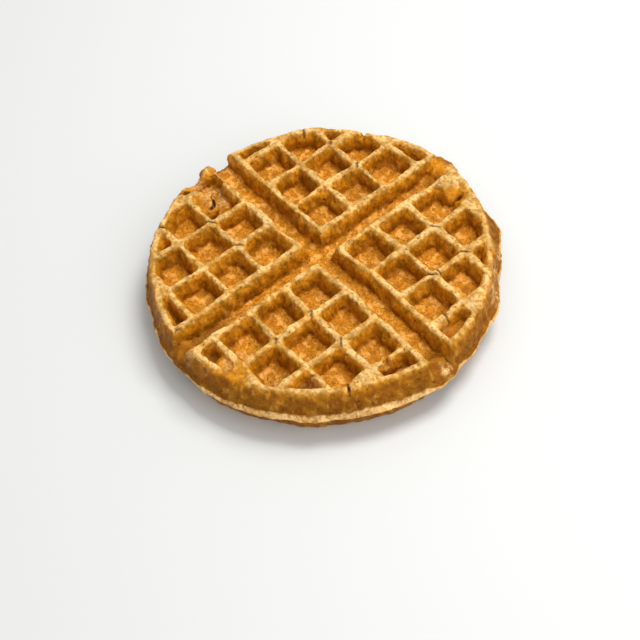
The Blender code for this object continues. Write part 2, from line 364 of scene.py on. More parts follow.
@dataclass
class Iron:
    """The pockets and grooves that the two halves of the iron press into the cake."""

    lattice: Lattice
    cake: Cake
    filled: frozenset[Cell] = frozenset({(1, -1, 3, 1), (1, -1, 1, 3), (1, 1, 3, 1), (1, 1, 0, 3)})
    columns: int = 4
    smallest_cell: float = 0.0042
    clearance: float = 0.0005
    flare: float = 0.00045
    flare_depth: float = 0.0011
    corner_round: float = 0.0013
    corner_steps: int = 3
    floor_round: float = 0.0011
    floor_steps: int = 2
    gauge_spare: float = 0.0001
    shift: float = 0.00035
    stretch: float = 0.022
    depth_change: float = 0.0005
    turn: float = math.radians(0.9)
    groove_reach: float = 0.215
    groove_cuts: int = 15
    groove_wobble: float = 0.0004
    seed: int = 11
    draw: random.Random = field(init=False)

    def __post_init__(self) -> None:
        """Starts the row of random draws."""
        self.draw = random.Random(self.seed)

    def cells(self) -> list[Cell]:
        """Finds the pockets that reach far enough inside the rim.

        Returns:
            The cells of these pockets.
        """
        found = []
        rim_centre = Vector(self.cake.rim_centre)
        for cell in itertools.product((-1, 1), (-1, 1), range(self.columns), range(self.columns)):
            corner = self.lattice.cell_centre(cell) - self.lattice.half_pocket * Vector(cell[:2])
            reach = (corner - rim_centre).length
            if reach < self.cake.inner_radius - self.smallest_cell and cell not in self.filled:
                found.append(cell)
        return found

    def tooth(self) -> bpy.types.Object:
        """Models one square tooth of the iron, face down round the origin.

        Returns:
            The tooth, with its wide end above the face at z = 0 and its point below.
        """
        lattice = self.lattice
        height = lattice.depth - self.flare_depth
        slope = math.tan(lattice.draft)
        top = lattice.half_pocket - self.flare_depth * slope
        shrink = (lattice.half_pocket - lattice.depth * slope) / top
        tooth = block("tooth", (2 * top, 2 * top, height), lattice.depth)
        narrow(tooth, (shrink, shrink, 1.0))
        edit_where(tooth, "EDGE", lambda edge: abs(edge_vector(tooth, edge).z) > height / 2)
        bpy.ops.mesh.bevel(offset=self.corner_round, segments=self.corner_steps)
        edit_where(tooth, "FACE", looks_down)
        bpy.ops.mesh.bevel(offset=self.floor_round, segments=self.floor_steps)
        grow = self.widen(lattice.half_pocket) / top
        self.flare_out(tooth, (grow, grow, 1.0))
        return tooth

    def widen(self, half_width: float) -> float:
        """Gives the half width of a tooth or bar at its upper end, above the face."""
        return half_width + self.flare * (1 + self.clearance / self.flare_depth)

    def flare_out(self, tool: bpy.types.Object, grow: tuple[float, float, float]) -> None:
        """Draws the upper face of a tooth or bar up through the face and makes it wider.

        Args:
            tool: The tooth or bar, its upper face at the depth where it starts to flare.
            grow: How many times wider it gets along each axis.
        """
        edit_where(tool, "FACE", lambda face: face.normal.z > 0.9)
        up = (0.0, 0.0, self.flare_depth + self.clearance)
        bpy.ops.mesh.extrude_region_move(TRANSFORM_OT_translate={"value": up})
        bpy.ops.transform.resize(value=grow)
        bpy.ops.object.mode_set(mode="OBJECT")

    def press(self, side: Side) -> bpy.types.Object:
        """Sets the teeth out over one face and trims them to the round rim.

        Args:
            side: The face that they press.

        Returns:
            The cutter for that face's pockets.
        """
        pattern = self.tooth()
        teeth = []
        for cell in self.cells():
            tooth = pattern.copy()
            tooth.data = pattern.data.copy()
            bpy.context.collection.objects.link(tooth)
            centre = self.lattice.cell_centre(cell)
            shift = Vector((self.draw.uniform(-1, 1), self.draw.uniform(-1, 1))) * self.shift
            deeper = self.draw.uniform(-1, 1) * self.depth_change
            height = self.lattice.face_height(side) + side.value * deeper
            tooth.location = (centre.x + shift.x, centre.y + shift.y, height)
            tooth.rotation_euler = (side.flip, 0.0, self.draw.uniform(-1, 1) * self.turn)
            wide = [1 + self.draw.uniform(-1, 1) * self.stretch for _ in range(2)]
            tooth.scale = (wide[0], wide[1], 1.0)
            teeth.append(tooth)
        bpy.data.objects.remove(pattern, do_unlink=True)
        for tooth in teeth:
            settle(tooth)
        cutter = join(teeth, f"pockets_{side.name.lower()}")
        boolean(cutter, self.rim_gauge(side), "INTERSECT")
        return cutter

    def rim_gauge(self, side: Side) -> bpy.types.Object:
        """Makes the drafted round plug that the rim's inner wall follows.

        Args:
            side: The face that it lies at.

        Returns:
            The plug.
        """
        lattice = self.lattice
        slope = math.tan(lattice.draft)
        deep = lattice.depth + 2 * self.clearance
        top = self.cake.inner_radius - self.flare_depth * slope
        deselect_all()
        bpy.ops.mesh.primitive_cone_add(
            vertices=self.cake.segments,
            radius1=self.cake.inner_radius - deep * slope,
            radius2=top,
            depth=deep - self.flare_depth,
            location=(0.0, 0.0, -(deep + self.flare_depth) / 2),
        )
        gauge = named("rim_gauge")
        settle(gauge)
        grow = (self.widen(self.cake.inner_radius) + self.gauge_spare) / top
        self.flare_out(gauge, (grow, grow, 1.0))
        gauge.location = (*self.cake.rim_centre, lattice.face_height(side))
        gauge.rotation_euler = (side.flip, 0.0, 0.0)
        settle(gauge)
        return gauge

    def bar(self, side: Side, turned: bool) -> bpy.types.Object:
        """Models one long bar of the iron, which leaves a groove.

        Args:
            side: The face that it presses.
            turned: True for the bar along Y.

        Returns:
            The cutter for that groove, its sides wavering a little.
        """
        lattice = self.lattice
        height = lattice.depth - self.flare_depth
        slope = math.tan(lattice.draft)
        top = lattice.half_groove - self.flare_depth * slope
        shrink = (lattice.half_groove - lattice.depth * slope) / top
        bar = block("bar", (self.groove_reach, 2 * top, height), lattice.depth)
        narrow(bar, (1.0, shrink, 1.0))
        bpy.ops.mesh.bevel(offset=self.floor_round, segments=self.floor_steps)
        self.flare_out(bar, (1.0, self.widen(lattice.half_groove) / top, 1.0))
        bpy.ops.object.mode_set(mode="EDIT")
        for k in range(1, self.groove_cuts):
            bpy.ops.mesh.select_all(action="SELECT")
            station = self.groove_reach * (k / self.groove_cuts - 0.5)
            bpy.ops.mesh.bisect(plane_co=(station, 0.0, 0.0), plane_no=(1.0, 0.0, 0.0))
        bpy.ops.mesh.select_all(action="SELECT")
        seed = self.draw.randrange(1000)
        bpy.ops.transform.vertex_random(offset=self.groove_wobble, uniform=1.0, seed=seed)
        bpy.ops.object.mode_set(mode="OBJECT")
        bar.location = (*lattice.crossing, lattice.face_height(side))
        bar.rotation_euler = (side.flip, 0.0, math.pi / 2 if turned else 0.0)
        settle(bar)
        return bar

    def work(self, body: bpy.types.Object) -> None:
        """Presses both halves of the iron into the cake.

        Args:
            body: The plain cake.
        """
        for side in Side:
            boolean(body, self.press(side), "DIFFERENCE")
            for turned in (False, True):
                boolean(body, self.bar(side, turned), "DIFFERENCE")


@dataclass(frozen=True)
class Crack:
    """A wedge that opens upwards: its middle, the way it runs, and its sizes in metres."""

    place: Place
    turn: float
    length: float
    width: float
    depth: float
    taper: float = 0.3
    end_taper: float = 0.85
    above: float = 0.0020

    def cutter(self, height: float) -> bpy.types.Object:
        """Models the wedge.

        Args:
            height: The height of the top face, which it opens towards.

        Returns:
            The closed wedge, in place.
        """
        wedge = block("crack", (self.length, self.width, self.depth + self.above), self.depth)
        narrow(wedge, (self.end_taper, self.taper, 1.0))
        bpy.ops.object.mode_set(mode="OBJECT")
        wedge.location = (*self.place, height)
        wedge.rotation_euler = (0.0, 0.0, self.turn)
        settle(wedge)
        return wedge


@dataclass
class Breaks:
    """Cracks in the rim, gaps in the ridges, and the nicks where the ridges cross."""

    lattice: Lattice
    cake: Cake
    rim_cracks: tuple[tuple[float, float, float], ...] = (
        (146.2, 0.0016, 0.0032),
        (124.4, 0.0032, 0.0036),
        (-144.2, 0.0016, 0.0034),
        (-31.0, 0.0019, 0.0042),
        (-97.0, 0.0011, 0.0030),
    )
    ridge_gaps: tuple[tuple[Place, float, float, float], ...] = (
        ((3.42, 0.76), 0.0, 0.0016, 0.0040),
        ((3.42, -0.98), 0.0, 0.0050, 0.0050),
        ((0.98, 3.40), 90.0, 0.0034, 0.0048),
        ((2.36, 1.55), 0.0, 0.0017, 0.0026),
    )
    nick_places: tuple[Place, ...] = (
        (1.363, -1.363), (2.363, -1.363), (-1.363, -1.363), (1.363, 1.363), (2.363, 1.363),
        (2.363, 2.363), (-2.363, 2.363), (-1.363, 2.363), (-1.363, 1.363), (1.363, -2.363),
        (-2.363, -1.363), (1.363, 2.363),
    )
    nick_length: float = 0.0040
    nick_width: float = 0.0013
    nick_depth: float = 0.0030
    nick_turn: float = math.radians(135.0)
    nick_swing: float = 0.2
    nick_growth: Place = (0.75, 1.2)
    gap_reach: float = 0.0080
    rim_reach: float = 0.0100
    seed: int = 5

    def cracks(self) -> list[Crack]:
        """Works out the cracks of the top face.

        Returns:
            The cracks of the rim, then the gaps of the ridges, then the nicks.
        """
        draw = random.Random(self.seed)
        found = []
        rim = (self.cake.inner_radius + self.cake.rim_radius) / 2
        for degrees, width, depth in self.rim_cracks:
            turn = math.radians(degrees)
            place = Vector(self.cake.centre) + Vector((math.cos(turn), math.sin(turn))) * rim
            found.append(Crack(tuple(place), turn, self.rim_reach, width, depth))
        for place, degrees, width, depth in self.ridge_gaps:
            where = tuple(self.lattice.point(place))
            found.append(Crack(where, math.radians(degrees), self.gap_reach, width, depth))
        for place in self.nick_places:
            grow = draw.uniform(*self.nick_growth)
            along = math.copysign(self.nick_turn, -place[0] * place[1])
            turn = along + draw.uniform(-self.nick_swing, self.nick_swing)
            size = (self.nick_length * grow, self.nick_width * grow, self.nick_depth * grow)
            found.append(Crack(tuple(self.lattice.point(place)), turn, *size))
        return found

    def work(self, body: bpy.types.Object) -> None:
        """Cuts the cracks into the top face."""
        for crack in self.cracks():
            boolean(body, crack.cutter(self.lattice.thickness), "DIFFERENCE")


@dataclass(frozen=True)
class Lump:
    """A round lump of batter: its middle, its radius, and how deep its top lies under the face."""

    place: Place
    radius: float
    depth: float
    long: float = 1.0
    turn: float = 0.0
    flat: float = 1.0

    def build(self, lattice: Lattice) -> bpy.types.Object:
        """Models the lump.

        Args:
            lattice: The grid that its place is counted in.

        Returns:
            The lump, in place.
        """
        height = lattice.thickness - self.depth - self.radius * self.flat
        deselect_all()
        bpy.ops.mesh.primitive_ico_sphere_add(
            subdivisions=3,
            radius=self.radius,
            location=(*lattice.point(self.place), height),
            rotation=(0.0, 0.0, math.radians(self.turn)),
            scale=(self.long, 1.0, self.flat),
        )
        ball = named("lump")
        settle(ball)
        return ball


@dataclass
class BrokenRim:
    """The place beside the groove where the rim tore: a folded mound, a curved crack and a blob."""

    lattice: Lattice
    crescent: tuple[Place, ...] = (
        (-3.61, -1.33), (-3.54, -1.10), (-3.434, -0.914), (-3.296, -0.803), (-3.047, -0.84),
        (-2.889, -0.937), (-2.84, -1.06),
    )
    crack_width: float = 0.0017
    crack_depth: float = 0.0086
    crack_taper: float = 0.7
    missing_place: Place = (-3.42, -0.72)
    missing_turn: float = math.radians(90.0)
    missing_size: tuple[float, float, float] = (0.0150, 0.0090, 0.0078)
    mound: tuple[Lump, ...] = (
        Lump((-3.12, -1.12), 0.0080, 0.0016, 1.20, 15.0, 0.8),
        Lump((-3.46, -1.16), 0.0058, 0.0010, 1.20, 60.0, 0.9),
    )
    crumbs: tuple[Lump, ...] = (
        Lump((-3.28, -0.58), 0.0050, 0.0064, 1.20, 0.0, 0.7),
        Lump((-2.93, -0.62), 0.0052, 0.0064, 1.20, 20.0, 0.7),
        Lump((-2.60, -0.78), 0.0044, 0.0058, 1.00, 0.0, 0.8),
        Lump((-3.55, -0.72), 0.0050, 0.0066, 1.00, 0.0, 0.8),
        Lump((-3.72, -0.86), 0.0050, 0.0062, 1.00, 0.0, 0.8),
        Lump((-3.79, -0.41), 0.0047, 0.0004, 1.10, -80.0),
    )

    def cracks(self) -> list[Crack]:
        """Works out the short straight cracks that make up the curved one.

        Returns:
            The cracks, from end to end.
        """
        found = []
        bends = [self.lattice.point(place) for place in self.crescent]
        for start, end in zip(bends, bends[1:]):
            run = end - start
            turn = math.atan2(run.y, run.x)
            length = run.length + self.crack_width
            middle = tuple((start + end) / 2)
            size = (length, self.crack_width, self.crack_depth)
            found.append(Crack(middle, turn, *size, self.crack_taper))
        return found

    def tear(self, body: bpy.types.Object) -> None:
        """Cuts the curved crack."""
        for crack in self.cracks():
            boolean(body, crack.cutter(self.lattice.thickness), "DIFFERENCE")

    def work(self, body: bpy.types.Object) -> list[bpy.types.Object]:
        """Tears the rim and models the batter that lies round the tear.

        Args:
            body: The pressed cake.

        Returns:
            The lumps of batter.
        """
        where = tuple(self.lattice.point(self.missing_place))
        gap = Crack(where, self.missing_turn, *self.missing_size, self.crack_taper)
        boolean(body, gap.cutter(self.lattice.thickness), "DIFFERENCE")
        self.tear(body)
        folded = [lump.build(self.lattice) for lump in self.mound]
        for lump in folded:
            self.tear(lump)
        return folded + [lump.build(self.lattice) for lump in self.crumbs]


@dataclass
class Drips:
    """Batter that ran over: plugs in the ends of the grooves and the rough slopes below them."""

    lattice: Lattice
    lumps: tuple[Lump, ...] = (
        Lump((4.04, 0.00), 0.0078, 0.0078, 0.8, 0.0, 0.5),
        Lump((4.14, 0.14), 0.0050, 0.0090, 1.0, 0.0, 0.7),
        Lump((4.16, -0.16), 0.0042, 0.0096, 1.0, 0.0, 0.7),
        Lump((0.02, 3.86), 0.0072, 0.0016, 1.2, 0.0, 0.8),
        Lump((0.20, 3.88), 0.0050, 0.0010, 1.3, -10.0, 0.8),
        Lump((-0.22, 3.90), 0.0052, 0.0026, 1.0, 0.0, 0.8),
        Lump((0.00, 3.55), 0.0060, 0.0062, 1.0, 0.0, 0.7),
        Lump((3.60, 0.74), 0.0050, 0.0056, 1.7, 80.0, 0.6),
        Lump((-0.04, -3.96), 0.0062, 0.0066, 1.2, 0.0, 0.6),
        Lump((0.24, -3.86), 0.0040, 0.0044, 1.2, 30.0, 0.8),
        Lump((-0.24, -3.92), 0.0044, 0.0070, 1.1, 0.0, 0.8),
        Lump((0.05, -4.10), 0.0040, 0.0100, 1.2, 0.0, 0.8),
        Lump((1.10, -3.55), 0.0062, 0.0018, 1.2, 0.0, 0.9),
        Lump((2.66, 2.78), 0.0034, 0.0060, 1.0, 0.0, 0.8),
        Lump((3.40, -0.90), 0.0032, 0.0040, 1.0, 0.0, 0.8),
        Lump((3.46, -1.10), 0.0024, 0.0024, 1.0, 0.0, 0.8),
    )

    def build(self) -> list[bpy.types.Object]:
        """Models all of its lumps."""
        return [lump.build(self.lattice) for lump in self.lumps]


@dataclass(frozen=True)
class Swell:
    """A layer of unevenness: the size of its waves, their height, and how far they stretch up."""

    name: str
    size: float
    height: float
    stretch: float = 1.0
    lean: Place = (0.0, 0.0)
    walls_only: bool = False


@dataclass
class Relief:
    """Roundness, lumps, streaks, blisters and pores of baked batter."""

    lattice: Lattice
    cake: Cake
    voxel: float = 0.0006
    round_steps: int = 3
    swells: tuple[Swell, ...] = (
        Swell("slow", 0.0130, 0.0008),
        Swell("lumpy", 0.0050, 0.00034),
        Swell("grainy", 0.0018, 0.00013),
        Swell("folds", 0.0032, 0.00090, 3.0, (0.50, -0.40), True),
        Swell("streaks", 0.0019, 0.00034, 2.6, (-0.35, 0.30), True),
    )
    pores: int = 800
    pore_radius: tuple[float, float] = (0.0005, 0.0010)
    pore_depth: tuple[float, float] = (0.0004, 0.0010)
    blisters: int = 1100
    blister_radius: tuple[float, float] = (0.0010, 0.0026)
    blister_height: tuple[float, float] = (0.00015, 0.00045)
    wall_steps: int = 10
    hollow_heights: Place = (0.6, 0.8)
    hollows: tuple[tuple[Place, float, float], ...] = (
        ((-3.08, -1.12), 0.0050, 0.0032),
        ((-3.80, -0.86), 0.0095, 0.0054),
        ((-3.70, -0.38), 0.0026, 0.0022),
        ((0.95, 3.40), 0.0086, 0.0046),
        ((1.36, -3.62), 0.0110, 0.0026),
        ((0.0, 3.95), 0.0070, 0.0008),
    )
    seam_inside: float = 0.0856
    seam_half: float = 0.0022
    seam_steps: int = 14
    triangles: int = 194000
    seed: int = 23

    def work(self, body: bpy.types.Object) -> None:
        """Turns the cut form into the rough mesh of a baked crust.

        Args:
            body: The cut form, with the lumps of batter joined to it.
        """
        remesh = body.modifiers.new("even", "REMESH")
        remesh.mode = "VOXEL"
        remesh.voxel_size = self.voxel
        rounding = body.modifiers.new("round", "SMOOTH")
        rounding.factor = 0.5
        rounding.iterations = self.round_steps
        apply_modifiers(body)
        LOG.info("even mesh: %d points", len(body.data.vertices))
        self.sink(body)
        self.roughen(body)
        self.calm_seam(body)
        self.dent(body)
        thin = body.modifiers.new("thin", "DECIMATE")
        body.data.calc_loop_triangles()
        thin.ratio = min(1.0, self.triangles / len(body.data.loop_triangles))
        apply_modifiers(body)

    def sink(self, body: bpy.types.Object) -> None:
        """Lets the top face sink in at its hollow places.

        Args:
            body: The crust.
        """
        points = vertex_array(body, "co")
        low, full = (self.lattice.thickness * part for part in self.hollow_heights)
        high = rise(points[:, 2], low, full)
        for place, radius, depth in self.hollows:
            where = np.array(self.lattice.point(place))
            part = np.hypot(points[:, 0] - where[0], points[:, 1] - where[1]) / radius
            points[:, 2] -= depth * high * (1.0 - np.minimum(part, 1.0) ** 2) ** 2
        body.data.vertices.foreach_set("co", points.ravel())
        body.data.update()

    def roughen(self, body: bpy.types.Object) -> None:
        """Pushes the surface in and out by all the layers of unevenness.

        Args:
            body: The crust.
        """
        normals = vertex_array(body, "normal")
        walls = body.vertex_groups.new(name="walls")
        level = np.round((1.0 - np.abs(normals[:, 2])) * self.wall_steps).astype(int)
        for step in range(1, self.wall_steps + 1):
            walls.add(np.flatnonzero(level == step).tolist(), step / self.wall_steps, "REPLACE")
        guides = [self.layer(body, swell, walls.name) for swell in self.swells]
        bpy.context.view_layer.update()
        apply_modifiers(body)
        for guide in guides:
            bpy.data.objects.remove(guide, do_unlink=True)

    def layer(self, body: bpy.types.Object, swell: Swell, walls: str) -> bpy.types.Object:
        """Adds the modifier of one layer.

        Args:
            body: The crust.
            swell: The layer.
            walls: The name of the group that holds the steep points.

        Returns:
            The empty object that stretches and leans the layer's waves.
        """
        texture = bpy.data.textures.new(swell.name, "CLOUDS")
        texture.noise_scale = swell.size
        texture.noise_depth = 1
        push = body.modifiers.new(swell.name, "DISPLACE")
        push.texture = texture
        push.strength = swell.height * 2
        push.mid_level = 0.5
        if swell.walls_only:
            push.vertex_group = walls
        guide = bpy.data.objects.new("guide_" + swell.name, None)
        bpy.context.collection.objects.link(guide)
        guide.scale = (1.0, 1.0, swell.stretch)
        guide.rotation_euler = (*swell.lean, 0.0)
        push.texture_coords = "OBJECT"
        push.texture_coords_object = guide
        return guide

    def calm_seam(self, body: bpy.types.Object) -> None:
        """Smooths the thin edge of the seam, which runs even round the cake.

        Args:
            body: The crust.
        """
        points = vertex_array(body, "co")
        middle = np.abs(points[:, 2] - self.lattice.thickness / 2)
        out = np.hypot(*(points[:, :2] - np.array(self.cake.centre)).T)
        group = body.vertex_groups.new(name="thin_edge")
        thin = np.flatnonzero((middle < self.seam_half) & (out > self.seam_inside))
        group.add(thin.tolist(), 1.0, "REPLACE")
        calm = body.modifiers.new("calm", "SMOOTH")
        calm.factor = 0.5
        calm.iterations = self.seam_steps
        calm.vertex_group = group.name
        apply_modifiers(body)

    def dent(self, body: bpy.types.Object) -> None:
        """Presses pores into the surface and raises blisters on it.

        Args:
            body: The crust, which then keeps how deep each vertex lies in a pore.
        """
        draw = np.random.RandomState(self.seed)
        points = vertex_array(body, "co")
        normals = vertex_array(body, "normal")
        tree = KDTree(len(points))
        for k, point in enumerate(points):
            tree.insert(point, k)
        tree.balance()
        dark = np.zeros(len(points))
        push = np.zeros(len(points))
        kinds = (
            (self.pores, self.pore_radius, self.pore_depth, -1.0),
            (self.blisters, self.blister_radius, self.blister_height, 1.0),
        )
        for count, radii, heights, sign in kinds:
            for k in draw.randint(len(points), size=count):
                radius = draw.uniform(*radii)
                height = draw.uniform(*heights)
                near = tree.find_range(points[k], radius)
                index = np.array([found[1] for found in near])
                part = np.array([found[2] for found in near]) / radius
                fade = (1.0 - part ** 2) ** 2
                push[index] += sign * height * fade
                if sign < 0:
                    dark[index] = np.maximum(dark[index], fade)
        moved = points + normals * push[:, None]
        body.data.vertices.foreach_set("co", moved.ravel())
        # these numbers mark where the material paints shade into the pores
        store(body, "pore", dark)


@dataclass
class Spread:
    """How the soft batter spread: the uneven outline, the ragged seam and the resting face."""

    lattice: Lattice
    cake: Cake
    outline_wobble: float = 0.0009
    outline_waves: float = 2.1
    outline_slice: float = 3.0
    seam_wobble: float = 0.0009
    seam_waves: float = 7.5
    seam_waves_up: float = 90.0
    seam_reach: float = 0.0045
    ragged: float = 0.0003
    ragged_waves: float = 34.0
    ragged_up: int = 4
    fade_inwards: int = 4
    waver: float = 0.0012
    waver_waves: float = 42.0
    outline_bulges: tuple[Bulge, ...] = (
        (106.0, 15.0, 0.0011), (-151.0, 8.0, -0.0010), (84.0, 12.0, 0.0016),
    )
    seam_bulges: tuple[Bulge, ...] = (
        (63.0, 8.0, 0.0030), (88.0, 10.0, 0.0010), (-3.0, 5.0, 0.0010),
    )

    def work(self, body: bpy.types.Object) -> None:
        """Moves every point of the mesh outwards or inwards.

        Args:
            body: The crust.
        """
        points = vertex_array(body, "co")
        level = points[:, :2] - np.array(self.cake.centre)
        reach = np.hypot(level[:, 0], level[:, 1])
        around = level / np.maximum(reach, 1e-6)[:, None]
        slow = self.waves(around, self.outline_waves, np.full(len(points), self.outline_slice))
        quick = self.waves(around, self.seam_waves, points[:, 2] * self.seam_waves_up)
        up = points[:, 2] * self.ragged_up * self.seam_waves_up
        fine = self.waves(around, self.ragged_waves, up)
        middle = np.abs(points[:, 2] - self.lattice.thickness / 2)
        at_seam = np.clip(1.0 - middle / self.seam_reach, 0.0, 1.0)
        push = self.outline_wobble * slow + self.bulges(around, self.outline_bulges)
        push += at_seam * (self.seam_wobble * quick + self.bulges(around, self.seam_bulges))
        push += at_seam ** 2 * self.ragged * fine
        push *= (reach / self.cake.seam_radius) ** self.fade_inwards
        points[:, :2] += around * push[:, None]
        points[:, :2] += self.waver * self.drift(points)
        points[:, 2] = np.maximum(points[:, 2], 0.0)
        body.data.vertices.foreach_set("co", points.ravel())

    def drift(self, points: np.ndarray) -> np.ndarray:
        """Reads how far the ridges drift to the side at each point, about -1 to 1 along X and Y."""
        rows = points * self.waver_waves
        return np.array([noise.noise_vector(row)[:2] for row in rows])

    def waves(self, around: np.ndarray, rate: float, third: np.ndarray) -> np.ndarray:
        """Reads smooth noise round the outline.

        Args:
            around: The level direction of each point.
            rate: The number of waves.
            third: The third coordinate of the noise.

        Returns:
            The noise at each point, about -1 to 1.
        """
        rows = zip(around[:, 0] * rate, around[:, 1] * rate, third)
        return np.array([noise.noise(row) for row in rows])

    def bulges(self, around: np.ndarray, places: tuple[Bulge, ...]) -> np.ndarray:
        """Adds up the bulges at each direction.

        Args:
            around: The level direction of each point.
            places: Each bulge's direction and spread in degrees, and its size.

        Returns:
            How far each point is pushed out.
        """
        total = np.zeros(len(around))
        angle = np.degrees(np.arctan2(around[:, 1], around[:, 0]))
        for degrees, spread, size in places:
            apart = np.abs((angle - degrees + 180.0) % 360.0 - 180.0)
            total += size * np.exp(-((apart / spread) ** 2))
        return total


@dataclass
class Browning:
    """Where the crust is flank, seam, slope or pale, kept as numbers on the mesh."""

    lattice: Lattice
    cake: Cake
    flank_start: float = 0.0828
    flank_full: float = 0.0838
    seam_start: float = 0.0866
    seam_full: float = 0.0878
    seam_below: float = 0.0014
    seam_above: float = 0.0013
    drip_above: float = 0.0019
    drip_direction: float = -38.0
    drip_spread: float = 33.0
    drip_inwards: float = 0.7
    patch_core: float = 0.4
    crack_sides: Place = (0.20, 0.56)
    crack_bottom: Place = (0.8, 1.1)
    upper_from: float = 0.001
    pale_places: tuple[Spot, ...] = (
        ((-3.30, -0.70), 0.0070), ((-3.00, -0.72), 0.0060), ((-3.46, -1.06), 0.0030),
        ((-3.32, -0.95), 0.0030), ((-3.14, -0.93), 0.0030), ((-2.97, -1.00), 0.0030),
        ((2.16, -2.95), 0.0070), ((2.75, -2.60), 0.0060), ((4.22, 0.02), 0.0040),
        ((0.30, 4.00), 0.0060), ((-3.75, -0.85), 0.0060), ((3.42, -1.00), 0.0030),
        ((0.30, -3.95), 0.0050), ((2.40, 1.50), 0.0030), ((1.36, 1.36), 0.0034),
        ((2.36, 1.36), 0.0034), ((2.36, 2.36), 0.0034), ((3.42, 0.62), 0.0034),
        ((1.12, -3.50), 0.0052), ((3.24, 2.75), 0.0075), ((3.64, 2.23), 0.0075),
        ((2.78, 3.25), 0.0060),
    )
    brown_places: tuple[Spot, ...] = (
        ((0.0, -3.55), 0.0210), ((0.0, 3.7), 0.0120), ((3.9, 0.0), 0.0090),
    )
    widest_dark: float = 0.0022

    def work(self, body: bpy.types.Object) -> None:
        """Measures every vertex.

        Args:
            body: The crust, which keeps the numbers.
        """
        points = vertex_array(body, "co")
        normals = vertex_array(body, "normal")
        rim = points[:, :2] - np.array(self.cake.rim_centre)
        reach = np.hypot(rim[:, 0], rim[:, 1])
        store(body, "slope", 1.0 - np.abs(normals[:, 2]))
        store(body, "flank", rise(reach, self.flank_start, self.flank_full))
        store(body, "seam", self.seam(points))
        upper = points[:, 2] > self.lattice.thickness / 2 - self.upper_from
        store(body, "pale", upper * self.patches(points, self.pale_places))
        store(body, "brown", self.patches(points, self.brown_places))
        # these numbers mark where the material paints shade into the narrow cracks
        store(body, "crack", upper * self.cracks(points))

    def patches(self, points: np.ndarray, places: tuple[Spot, ...]) -> np.ndarray:
        """Tells how near each point lies to any of the places.

        Args:
            points: The points.
            places: The middle of each place in pockets, and its radius.

        Returns:
            1 in the core of a place, and 0 outside them all.
        """
        part = np.zeros(len(points))
        for place, size in places:
            where = np.array(self.lattice.point(place))
            apart = np.hypot(points[:, 0] - where[0], points[:, 1] - where[1])
            part = np.maximum(part, 1.0 - rise(apart, size * self.patch_core, size))
        return part

    def cracks(self, points: np.ndarray) -> np.ndarray:
        """Tells how near each point lies to the middle of a narrow crack, where the material paints shade.

        Args:
            points: The points.

        Returns:
            1 in the middle of a crack, and 0 away from them all.
        """
        dark = np.zeros(len(points))
        deep = self.lattice.thickness - points[:, 2]
        for crack in Breaks(self.lattice, self.cake).cracks() + BrokenRim(self.lattice).cracks():
            if crack.width > self.widest_dark:
                continue
            along = np.array((math.cos(crack.turn), math.sin(crack.turn)))
            offset = points[:, :2] - np.array(crack.place)
            run = np.clip(offset @ along, -crack.length / 2, crack.length / 2)
            apart = np.hypot(*(offset - run[:, None] * along).T)
            near = 1.0 - rise(apart, *(crack.width * part for part in self.crack_sides))
            above = 1.0 - rise(deep, *(crack.depth * part for part in self.crack_bottom))
            dark = np.maximum(dark, near * above)
        return dark

    def seam(self, points: np.ndarray) -> np.ndarray:
        """Tells how pale each point is as a part of the seam, which ran up the front flank.

        Args:
            points: The points.

        Returns:
            1 in the middle of the seam, and 0 away from it.
        """
        out = points[:, :2] - np.array(self.cake.centre)
        angle = np.degrees(np.arctan2(out[:, 1], out[:, 0]))
        drip = np.exp(-(((angle - self.drip_direction) / self.drip_spread) ** 4))
        up = points[:, 2] - self.lattice.thickness / 2
        reach = np.where(up < 0.0, self.seam_below, self.seam_above + self.drip_above * drip)
        near = 1.0 - np.clip(np.abs(up) / reach, 0.0, 1.0)
        inwards = self.drip_above * drip * self.drip_inwards
        far = np.hypot(out[:, 0], out[:, 1])
        return near * rise(far, self.seam_start - inwards, self.seam_full - inwards)


@dataclass(frozen=True)
class Step:
    """A smooth step of a value: where it starts and ends, and the results there."""

    low: float
    high: float
    start: float = 0.0
    end: float = 1.0


